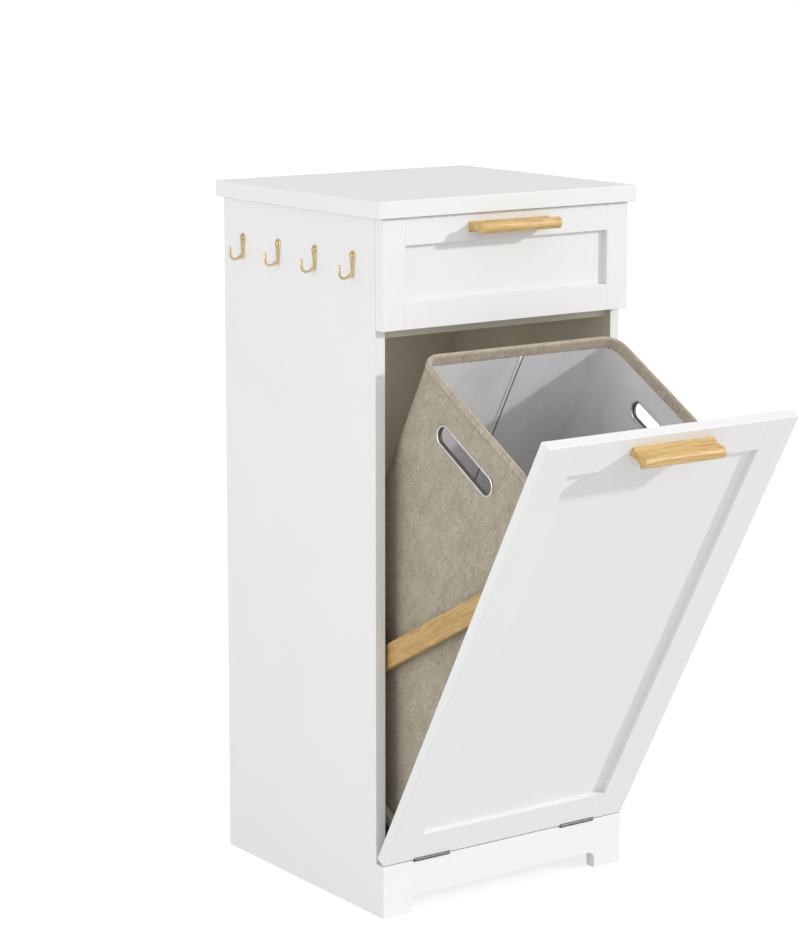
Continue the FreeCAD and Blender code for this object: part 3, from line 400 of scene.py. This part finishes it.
class Plan:
    """The hamper's rounded-rectangle plan in the door's axes, and how far its walls swell at a height."""

    corner, least_bend = 27 * MM, 1.5 * MM
    swell, fullness = 2.2 * MM, 0.8  # a fullness below 1 carries the swelling nearer to the walls' edges
    steps_side, steps_corner = 64, 14

    def __init__(self):
        low, _ = local_box("hamper_body", DOOR)
        rim_low, rim_high = local_box("hamper_rim_binding", DOOR)
        self.half = rim_high[0]
        self.front, self.back = rim_low[1], rim_high[1]
        self.floor, self.top = low[2], rim_high[2]

    def ring(self, inset, height):
        """The plan's outline at an inset and a height, as points of a closed loop."""
        bend = max(self.corner - inset, self.least_bend)
        half, front, back = self.half - inset, self.front + inset, self.back - inset
        centres = [(half - bend, back - bend), (-half + bend, back - bend),
                   (-half + bend, front + bend), (half - bend, front + bend)]
        points = []
        for quarter, (cx, cy) in enumerate(centres):
            for step in range(self.steps_corner + 1):
                angle = math.radians(90 * (quarter + step / self.steps_corner))
                points.append((cx + bend * math.cos(angle), cy + bend * math.sin(angle), height))
            nx, ny = centres[(quarter + 1) % 4]
            turn = math.radians(90 * (quarter + 1))
            ux, uy = math.cos(turn), math.sin(turn)
            for step in range(1, self.steps_side):
                t = step / self.steps_side
                x = cx + (nx - cx) * t + bend * ux
                y = cy + (ny - cy) * t + bend * uy
                out = self.swelling(t, height)
                points.append((x + out * ux, y + out * uy, height))
        return points

    def swelling(self, along, height):
        """How far a wall stands out at a fraction of its width: nothing at corners, rim and floor."""
        up = min(max((height - self.floor) / (self.top - self.floor), 0), 1)
        ripple = 0.25 * math.sin(9.0 * along + 4.0 * up) * math.sin(math.pi * up)
        across, upright = (math.sin(math.pi * part) ** self.fullness for part in (along, up))
        return self.swell * across * (upright + ripple)

    def rings(self, profile):
        return [self.ring(inset, height) for inset, height in profile]


def climb(start, end, step):
    """Heights from start to end, about a step apart, without the ends."""
    count = max(int(abs(end - start) / step), 1)
    return [start + (end - start) * i / count for i in range(1, count)]


# How the foot of a wall rounds into the floor: in from the wall, and up from the floor.
FOOT = ((9 * MM, 0.0), (4 * MM, 0.6 * MM), (1.2 * MM, 3 * MM), (0.0, 8 * MM))
CAP = 100 * MM  # the inset of the last ring on a floor, which a flat cap fills


def wall_profile(outer, inner, floor, under, top):
    """A tub's section from the middle of its underside, up the outside, over the rim and down the inside."""
    below_rim, step, foot_top = 2 * MM, 6 * MM, FOOT[-1][1]
    lip = (inner - outer) / 2
    shoulder = lip * 0.3
    profile = [(CAP, under)] + [(outer + x, under + z) for x, z in FOOT]
    profile += [(outer, z) for z in climb(under + foot_top, top - below_rim, step)]
    profile += [(outer, top - lip), (outer + shoulder, top - shoulder), (outer + lip, top)]
    profile += [(inner - shoulder, top - shoulder), (inner, top - lip)]
    profile += [(inner, z) for z in climb(top - below_rim, floor + foot_top, step)]
    return profile + [(inner + x, floor + z) for x, z in reversed(FOOT)] + [(CAP, floor)]


def stadium(across, radius, middle, half_run):
    """A round-ended loop in the plane at x = across, centred on middle (y, z), long in y."""
    steps, points = 20, []
    for end in (1, -1):
        for step in range(steps + 1):
            angle = math.radians(180 * step / steps) - math.pi / 2 * end
            y = middle[0] + end * half_run + radius * math.cos(angle)
            points.append((across, y, middle[1] + radius * math.sin(angle)))
    return points


class Grip:
    """One grip slot: where it is, from its CAD eyelet, and how large."""

    def __init__(self, name):
        self.name = name
        self.side = -1 if name == "left" else 1
        low, high = local_box("hamper_%s_grip_ring" % name, DOOR)
        self.radius = (high[2] - low[2]) / 2
        self.middle = ((low[1] + high[1]) / 2, (low[2] + high[2]) / 2)
        self.half_run = (high[1] - low[1]) / 2 - self.radius
        self.inner, self.outer = sorted((abs(low[0]), abs(high[0])))

    def loop(self, across, radius):
        return stadium(self.side * across, radius, self.middle, self.half_run)


PLAN = Plan()
GRIPS = [Grip("left"), Grip("right")]
# Insets from the rim's outer face: the shell's outside, where its lining starts, and the lining's inside.
SKIN, LINED, INSIDE = 1.0 * MM, 4.6 * MM, 5.6 * MM


def cut_grips(thing):
    """Cut both grip slots, a little smaller than the eyelets that cover their edges."""
    under_flange, past = 2.2 * MM, 20 * MM
    radius = GRIPS[0].radius - under_flange
    for grip in GRIPS:
        rings = [grip.loop(across, radius) for across in (grip.inner - past, grip.outer + past)]
        cut(thing, loft("grip_cutter", rings, "lining"))


def make_shell():
    profile = wall_profile(SKIN, LINED, floor=PLAN.floor + 3 * MM, under=PLAN.floor, top=PLAN.top - 1.0 * MM)
    shell = loft("hamper_shell", PLAN.rings(profile), "linen")
    cut_grips(shell)
    onto_hamper(shell, "linen_fabric", "hamper_body")


def make_lining():
    profile = wall_profile(LINED + 0.1 * MM, INSIDE, floor=PLAN.floor + 5 * MM, under=PLAN.floor + 3.2 * MM,
                           top=PLAN.top - 2.2 * MM)
    inside = loft("hamper_inner_lining", PLAN.rings(profile), "lining")
    cut_grips(inside)
    onto_hamper(inside, "lining_fabric", "hamper_lining")


def make_binding():
    """The folded tape over the rim: a thin band outside, a round top and a deeper band inside."""
    top, out_low, in_low = PLAN.top, PLAN.top - 11 * MM, PLAN.top - 16 * MM
    outer, inner = 0.0, INSIDE + 0.8 * MM
    edge, edge_rise, edge_end = 0.3 * MM, 0.2 * MM, 1 * MM
    core_in, core_out, core_top = INSIDE - 0.1 * MM, SKIN + 0.1 * MM, top - 1.4 * MM
    lip = (inner - outer) / 2
    profile = [(SKIN, out_low), (outer + edge, out_low + edge_rise), (outer, out_low + edge_end)]
    profile += [(outer, z) for z in climb(out_low + edge_end, top - lip, 2 * MM)]
    for angle in (math.radians(degrees) for degrees in range(0, 181, 20)):
        profile.append((outer + lip - lip * math.cos(angle), top - lip + lip * math.sin(angle)))
    profile += [(inner, z) for z in climb(top - lip, in_low + edge_end, 2 * MM)]
    profile += [(inner, in_low + edge_end), (inner - edge, in_low + edge_rise), (INSIDE, in_low)]
    profile += [(core_in, z) for z in climb(in_low, core_top, 3 * MM)]
    profile += [(core_in, core_top), (core_out, core_top)]
    profile += [(core_out, z) for z in climb(core_top, out_low, 3 * MM)]
    # The binding's linen is a lighter copy of the shell's, as painted highlight of the lit rim, inner band
    # too.
    binding = loft("hamper_binding", PLAN.rings(profile), "binding", closed=True)
    onto_hamper(binding, "binding_fabric", "hamper_rim_binding")


def make_stitches():
    """A row of thread stitches round the binding: small capsules that dip into the cloth at their ends."""
    proud, below_top = 0.1 * MM, 9 * MM
    pitch, length, radius = 3.6 * MM, 3.0 * MM, 0.45 * MM
    sides, stations = 6, (-1.0, -0.8, -0.35, 0.35, 0.8, 1.0)  # from one end of a stitch to the other
    path = PLAN.ring(-proud, PLAN.top - below_top)
    points = np.array(path + path[:1])
    steps = np.linalg.norm(np.diff(points, axis=0), axis=1)
    reach = np.concatenate([[0], np.cumsum(steps)])
    count = int(reach[-1] / pitch)
    up = np.array([0, 0, 1.0])

    def on_path(distance):
        return np.array([np.interp(distance, reach, points[:, axis]) for axis in range(3)])

    verts, faces = [], []
    for i in range(count):
        middle = (i + 0.5) * reach[-1] / count
        a, b = on_path(middle - length / 2), on_path(middle + length / 2)
        along = (b - a) / np.linalg.norm(b - a)
        out = np.cross(along, up)
        base = len(verts)
        for s in stations:
            centre = (a + b) / 2 + along * s * length / 2 - out * radius * 0.9 * s * s
            width = radius * math.sqrt(max(1 - s ** 6, 0.02))
            for j in range(sides):
                angle = 2 * math.pi * j / sides
                verts.append(centre + width * (math.cos(angle) * out + math.sin(angle) * up))
        for k in range(len(stations) - 1):
            near, far = base + k * sides, base + (k + 1) * sides
            faces += [(near + j, near + (j + 1) % sides, far + (j + 1) % sides, far + j)
                      for j in range(sides)]
        last = base + (len(stations) - 1) * sides
        faces.append(tuple(base + j for j in reversed(range(sides))))
        faces.append(tuple(last + j for j in range(sides)))
    onto_hamper(add_mesh("hamper_stitches_outside", verts, faces, "thread"), "binding_fabric")


def make_grip(grip):
    """A pressed eyelet with a rounded flange on each face, a dark loop round it as painted shade of the
    groove at its edge, and a dark sleeve in the slot that is partly painted shade.
    """
    hole, rise = grip.radius - 3.4 * MM, 1.5 * MM
    skin, play = PLAN.half - SKIN, 0.3 * MM
    face, back = skin + 0.5 * MM, PLAN.half - INSIDE + 0.2 * MM
    rim, bore = grip.radius - 0.8 * MM, hole + 0.7 * MM
    bead = (grip.radius - hole) / 2
    arc = [math.radians(degrees) for degrees in range(0, 181, 15)]
    outside = [(face + rise * math.sin(a), hole + bead - bead * math.cos(a)) for a in arc]
    under = [(face, rim), (face, bore), (back, bore), (back, rim)]
    inside = [(back - rise * math.sin(a), hole + bead + bead * math.cos(a)) for a in arc]
    # A dark loop round the flange: painted shade of the groove at the flange's edge.
    edge_low, edge_high, edge_in = skin - 0.2 * MM, skin + 0.5 * MM, grip.radius - 0.3 * MM
    edge = [(edge_low, edge_in), (edge_high, edge_in),
            (edge_high, grip.radius + 0.9 * MM), (edge_low, grip.radius + 1.2 * MM)]
    # The dark sleeve is partly painted shade: it darkens the view into the slot.
    sleeve_out, sleeve_in = hole + 0.1 * MM, hole - 0.35 * MM
    sleeve = [(face + play, sleeve_out), (back - play, sleeve_out),
              (back - play, sleeve_in), (face + play, sleeve_in)]
    for part, section, look, nodes in (("ring", outside + under + inside, "ring",
                                        ["hamper_%s_grip_ring" % grip.name]),
                                       ("edge", edge, "sleeve", []),
                                       ("sleeve", sleeve, "sleeve", [])):
        rings = [grip.loop(across, radius) for across, radius in section]
        piece = loft("grip_%s_%s" % (part, grip.name), rings, look, closed=True)
        onto_hamper(piece, "ring_metal", *nodes)


def make_seams():
    """The lining's upright seam, near the middle of the back wall: a folded flap, and beside it a dark strip
    that is painted shadow of the gap.
    """
    low, high = PLAN.floor + 9 * MM, PLAN.top - 15 * MM
    wall = PLAN.back - INSIDE + 0.6 * MM
    steps, flatness = 8, 0.6  # a flatness below 1 makes the bead's section squarer than a half circle
    # The second strip, in dark thread colour, is painted shadow beside the flap.
    for part, centre, half, thick, look in (("flap", 3 * MM, 2.6 * MM, 1.6 * MM, "lining"),
                                            ("painted_gap_shadow", 7 * MM, 1.5 * MM, 0.9 * MM, "thread")):
        rings = []
        for height in [low] + climb(low, high, 12 * MM) + [high]:
            face = wall + PLAN.swelling(0.5, height)
            section = []
            for step in range(steps + 1):
                angle = math.pi * step / steps
                rise = thick * math.sin(angle) ** flatness
                section.append((centre + half * math.cos(angle), face - rise, height))
            rings.append(section)
        onto_hamper(loft("hamper_seam_" + part, rings, look), "lining_fabric")


def make_floor_pad():
    """The lined board that lies in the hamper's bottom, with softened edges."""
    floor = PLAN.floor + 5.2 * MM
    top, inset = floor + 3 * MM, INSIDE + 1 * MM
    profile = [(CAP, floor), (inset + 0.6 * MM, floor), (inset, floor + 0.8 * MM), (inset, top - 1 * MM),
               (inset + 0.4 * MM, top - 0.3 * MM), (inset + 1.4 * MM, top), (CAP, top)]
    pad = loft("hamper_floor_pad", PLAN.rings(profile), "lining")
    onto_hamper(pad, "lining_fabric", "hamper_base_board")


def make_hamper():
    make_shell()
    make_lining()
    make_binding()
    make_floor_pad()
    for grip in GRIPS:
        make_grip(grip)
    make_stitches()
    make_seams()


# ---------------------------------------------------------------- coat hooks

def smooth_path(points, steps):
    """Stations between control points, on a curve through them (Catmull-Rom), for tuples of any length."""
    known = [np.array(p, dtype=float) for p in points]
    known = [2 * known[0] - known[1]] + known + [2 * known[-1] - known[-2]]
    stations = []
    for a, b, c, d in zip(known, known[1:], known[2:], known[3:]):
        for t in (i / steps for i in range(steps)):
            stations.append(0.5 * (2 * b + (c - a) * t + (2 * a - 5 * b + 4 * c - d) * t ** 2
                                   + (3 * b - a - 3 * c + d) * t ** 3))
    return stations + [known[-2]]


def make_hook(number):
    """A cast brass hook: a teardrop plate with a softened edge, and an arm that thins into an upturned J."""
    node = "coat_hook_%d" % number
    low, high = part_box(node)
    face, middle, top = high.x, (low.y + high.y) / 2, high.z
    head, tail, foot, thick = 6.0 * MM, 2.0 * MM, 34.4 * MM, 2.4 * MM
    waist = ((14, 4.9), (20, 4.2), (26, 3.2))  # down from the plate's top, and half width there, in mm
    head_steps, tail_steps, curve_steps, sides = 24, 8, 5, 16

    def outline(shrink, out):
        """The plate's edge: a round head on a body that tapers to a round foot."""
        radius, tip = head - shrink, tail - shrink * 0.6
        points = []
        for step in range(head_steps + 1):
            angle = math.radians(-12 + 204 * step / head_steps)
            points.append((radius * math.cos(angle), -head + radius * math.sin(angle)))
        for drop, half in waist:
            points.append((-half * MM + shrink, -drop * MM))
        for step in range(tail_steps + 1):
            angle = math.radians(190 + 160 * step / tail_steps)
            points.append((tip * math.cos(angle), -foot + tail + tip * math.sin(angle)))
        for drop, half in reversed(waist):
            points.append((half * MM - shrink, -drop * MM))
        return [(face - out, middle + y, top + z) for y, z in points]

    edge = [(0.0, 0.0), (0.0, thick * 0.45), (0.25 * MM, thick * 0.75), (0.8 * MM, thick * 0.95),
            (1.5 * MM, thick)]
    plate = loft("hook_plate_%d" % number, [outline(shrink, out) for shrink, out in edge], "brass")
    # The arm in mm: out from the panel, down from the plate's top, half width, half thickness.
    arm = [(0.8, 29.8, 2.3, 3.6), (3.6, 31.0, 2.2, 3.0), (7.4, 32.9, 1.95, 2.3), (11.8, 34.6, 1.75, 1.8),
           (16.0, 34.6, 1.8, 1.8), (19.3, 32.5, 1.8, 1.8), (21.2, 28.9, 1.8, 1.8), (21.6, 24.6, 1.85, 1.85),
           (21.6, 20.4, 1.85, 1.75), (21.4, 18.0, 1.5, 1.4), (21.4, 17.2, 0.5, 0.5)]
    stations = smooth_path(arm, curve_steps)
    rings = []
    for i, (out, down, wide, deep) in enumerate(stations):
        after, before = stations[min(i + 1, len(stations) - 1)], stations[max(i - 1, 0)]
        along = np.array([after[0] - before[0], after[1] - before[1]])
        side = np.array([-along[1], along[0]]) / np.linalg.norm(along)
        ring = []
        for step in range(sides):
            angle = 2 * math.pi * step / sides
            reach = out + deep * math.cos(angle) * side[0]
            fall = down + deep * math.cos(angle) * side[1]
            ring.append((face - reach * MM, middle + wide * math.sin(angle) * MM, top - fall * MM))
        rings.append(ring)
    wire = loft("hook_arm_%d" % number, rings, "brass")
    for piece in (plate, wire):
        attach(piece, "cabinet")
    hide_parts(node)


for cad_node in frame["nodes"]:
    dress(cad_node)
make_hamper()
for hook_number in range(1, 5):
    make_hook(hook_number)


# ---------------------------------------------------------------- studio

def make_floor():
    """A pale floor that glows a little, so that only a faint shadow is left where the cabinet stands."""
    half_side, drop = 30.0, 0.5 * MM
    glow_as_light, glow_to_camera = 0.42, 0.74
    corners = [(x * half_side, y * half_side, 0) for x, y in ((-1, -1), (1, -1), (1, 1), (-1, 1))]
    mesh = bpy.data.meshes.new("floor")
    mesh.from_pydata(corners, [], [(0, 1, 2, 3)])
    g = Graph("floor_white")
    seen = g.add("LightPath").outputs["Is Camera Ray"]
    g.set(Base_Color=(0.34, 0.34, 0.34, 1), Roughness=0.9, Specular_IOR_Level=0.1,
          Emission_Color=(1, 1, 1, 1),
          Emission_Strength=g.between(seen, 0.0, 1.0, to_low=glow_as_light, to_high=glow_to_camera))
    mesh.materials.append(g.material)
    floor = bpy.data.objects.new("floor", mesh)
    floor.location.z = -drop
    bpy.context.scene.collection.objects.link(floor)


def make_world():
    """White to the camera; as a light, brighter overhead than at the horizon."""
    at_horizon, overhead, to_camera = 0.60, 0.84, 1.0
    world = bpy.data.worlds.new("studio")
    bpy.context.scene.world = world
    world.use_nodes = True
    nodes, links = world.node_tree.nodes, world.node_tree.links
    nodes.clear()
    where = nodes.new("ShaderNodeTexCoord")
    split = nodes.new("ShaderNodeSeparateXYZ")
    dome = nodes.new("ShaderNodeMapRange")
    ray = nodes.new("ShaderNodeLightPath")
    strength = nodes.new("ShaderNodeMapRange")
    background = nodes.new("ShaderNodeBackground")
    output = nodes.new("ShaderNodeOutputWorld")
    background.inputs["Color"].default_value = (1, 1, 1, 1)
    dome.inputs["To Min"].default_value = at_horizon
    dome.inputs["To Max"].default_value = overhead
    strength.inputs["To Max"].default_value = to_camera
    links.new(where.outputs["Generated"], split.inputs["Vector"])
    links.new(split.outputs["Z"], dome.inputs["Value"])
    links.new(ray.outputs["Is Camera Ray"], strength.inputs["Value"])
    links.new(dome.outputs["Result"], strength.inputs["To Min"])
    links.new(strength.outputs["Result"], background.inputs["Strength"])
    links.new(background.outputs["Background"], output.inputs["Surface"])


def aim(thing, target):
    thing.rotation_mode = "QUATERNION"
    thing.rotation_quaternion = (Vector(target) - thing.location).to_track_quat("-Z", "Y")


def add_light(name, kind, place, target, energy, size):
    """A light the camera doesn't see. Size is a sun's angle, an area's side or a point's radius."""
    lamp = bpy.data.lights.new(name, kind)
    lamp.energy = energy
    setattr(lamp, {"SUN": "angle", "AREA": "size", "POINT": "shadow_soft_size"}[kind], size)
    thing = bpy.data.objects.new(name, lamp)
    thing.location = place
    thing.visible_camera = False
    bpy.context.scene.collection.objects.link(thing)
    aim(thing, target)


def make_camera():
    """At the picture's height and angle; the shift keeps the cabinet about where the picture has it."""
    pitch_down, turn_right = 9.234, 35.365
    camera = bpy.data.cameras.new("camera")
    camera.lens = 106.56
    camera.sensor_width = 36.0
    camera.shift_y = -0.095
    camera.clip_end = 50.0
    thing = bpy.data.objects.new("camera", camera)
    thing.location = (-2.2165, -3.2553, 1.2762)
    thing.rotation_euler = (math.radians(90 - pitch_down), 0, math.radians(-turn_right))
    bpy.context.scene.collection.objects.link(thing)
    bpy.context.scene.camera = thing


make_floor()
make_world()
add_light("key", "SUN", (4.05, -3.0, 1.89), (0, 0, 0), energy=1.75, size=math.radians(3))
add_light("fill", "AREA", (-3.0, -0.6, 1.2), (0, -0.2, 0.5), energy=26, size=2.0)
add_light("front", "AREA", (-0.4, -4.0, 1.3), (0, -0.2, 0.5), energy=8, size=3.0)
add_light("bay", "POINT", (0.0, -0.13, 0.66), (0, 0, 0), energy=0.12, size=0.05)
make_camera()
bpy.context.scene.view_settings.view_transform = "Standard"
